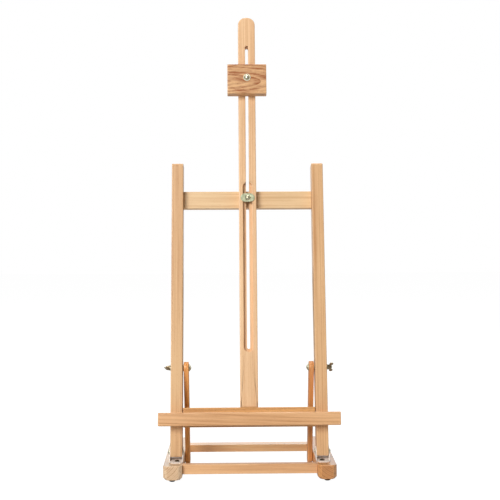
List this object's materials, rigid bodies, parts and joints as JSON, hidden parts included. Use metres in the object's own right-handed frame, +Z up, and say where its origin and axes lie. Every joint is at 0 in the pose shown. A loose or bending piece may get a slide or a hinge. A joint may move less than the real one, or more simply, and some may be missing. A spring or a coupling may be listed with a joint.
{
  "type": "table easel",
  "caption": "Wooden table-top H-frame easel: leaning uprights on a rail base, side struts, canvas tray and a slotted sliding mast with a canvas clamp block.",
  "frame": {"origin": "centre of the base on the ground, under the four rubber feet", "axes": "+Z up, +X to the easel's right as seen from the front, the front with the tray faces -Y"},
  "size_m": [0.33, 0.27, 0.8679],
  "materials": {
    "rail_wood_left": "satin",
    "rail_wood_right": "satin",
    "bar_wood": "satin",
    "rear_bar_wood": "satin",
    "dowel_wood": "satin",
    "post_wood_left": "satin",
    "post_wood_right": "satin",
    "crossbar_wood": "satin",
    "tray_wood": "satin",
    "lip_wood": "satin",
    "mast_wood": "satin",
    "block_wood": "satin",
    "strut_wood_left": "satin",
    "strut_wood_right": "satin",
    "foot_rubber": "matte",
    "zinc_steel": "satin",
    "bracket_steel": "satin",
    "dark_steel": "satin",
    "screw_steel": "satin",
    "nut_steel": "satin"
  },
  "bodies": {
    "base": {"base_rail_left": "rail_wood_left", "base_rail_right": "rail_wood_right", "front_crossbar": "bar_wood", "rear_crossbar": "rear_bar_wood", "base_dowels": "dowel_wood", "rubber_feet": "foot_rubber", "foot_screws": "screw_steel", "bracket_left": "bracket_steel", "bracket_right": "bracket_steel", "bracket_screws": "dark_steel", "pivot_bolts": "zinc_steel", "pivot_nuts": "zinc_steel", "strut_pivot_screws": "zinc_steel"},
    "frame": {"upright_left": "post_wood_left", "upright_right": "post_wood_right", "upper_crossbar": "crossbar_wood", "crossbar_dowels": "dowel_wood", "tray_board": "tray_wood", "tray_lip": "lip_wood", "lip_screws": "screw_steel", "board_screws": "screw_steel", "mast_bolt": "zinc_steel", "mast_clamp_plate": "zinc_steel", "mast_washer": "zinc_steel", "strut_bolts": "zinc_steel", "strut_head_washers": "zinc_steel", "strut_spacers": "zinc_steel", "strut_nut_washers": "zinc_steel"},
    "mast_body": {"mast": "mast_wood"},
    "clamp": {"clamp_block": "block_wood", "clamp_bolt": "zinc_steel", "clamp_face_washer": "zinc_steel", "clamp_back_washer": "zinc_steel"},
    "strut_l": {"strut_left": "strut_wood_left"},
    "strut_r": {"strut_right": "strut_wood_right"},
    "mast_nut": {"mast_wing_nut": "nut_steel"},
    "clamp_nut": {"clamp_wing_nut": "nut_steel"},
    "strut_nut_l": {"strut_wing_nut_left": "nut_steel"},
    "strut_nut_r": {"strut_wing_nut_right": "nut_steel"}
  },
  "joints": [
    {"name": "frame_tilt", "type": "hinge", "parent": "base", "child": "frame", "pos_m": [0, -0.075, 0.0445], "axis": [-1, 0, 0], "range_deg": [0, 30]},
    {"name": "strut_left_swing", "type": "hinge", "parent": "base", "child": "strut_l", "pos_m": [0, 0.003, 0.0185], "axis": [-1, 0, 0], "range_deg": [0, 24.74]},
    {"name": "strut_right_swing", "type": "hinge", "parent": "base", "child": "strut_r", "pos_m": [0, 0.003, 0.0185], "axis": [-1, 0, 0], "range_deg": [0, 24.74]},
    {"name": "mast_slide", "type": "slide", "parent": "frame", "child": "mast_body", "axis": [0, 0.1874, 0.9823], "range_m": [0, 0.27]},
    {"name": "clamp_slide", "type": "slide", "parent": "mast_body", "child": "clamp", "axis": [0, 0.1874, 0.9823], "range_m": [-0.185, 0.065]},
    {"name": "mast_nut_turn", "type": "hinge", "parent": "frame", "child": "mast_nut", "pos_m": [0, 0.01359, 0.50892], "axis": [0, 0.9823, -0.1874], "continuous": true},
    {"name": "clamp_nut_turn", "type": "hinge", "parent": "clamp", "child": "clamp_nut", "pos_m": [0, 0.05722, 0.7376], "axis": [0, 0.9823, -0.1874], "continuous": true},
    {"name": "strut_left_nut_turn", "type": "hinge", "parent": "frame", "child": "strut_nut_l", "pos_m": [-0.15, -0.04633, 0.19479], "axis": [-1, 0, 0], "continuous": true},
    {"name": "strut_right_nut_turn", "type": "hinge", "parent": "frame", "child": "strut_nut_r", "pos_m": [0.15, -0.04633, 0.19479], "axis": [1, 0, 0], "continuous": true}
  ],
  "couplings": [
    {"joint": "strut_left_swing", "follows": "frame_tilt", "ratio": 0.81468},
    {"joint": "strut_right_swing", "follows": "frame_tilt", "ratio": 0.81468}
  ]
}
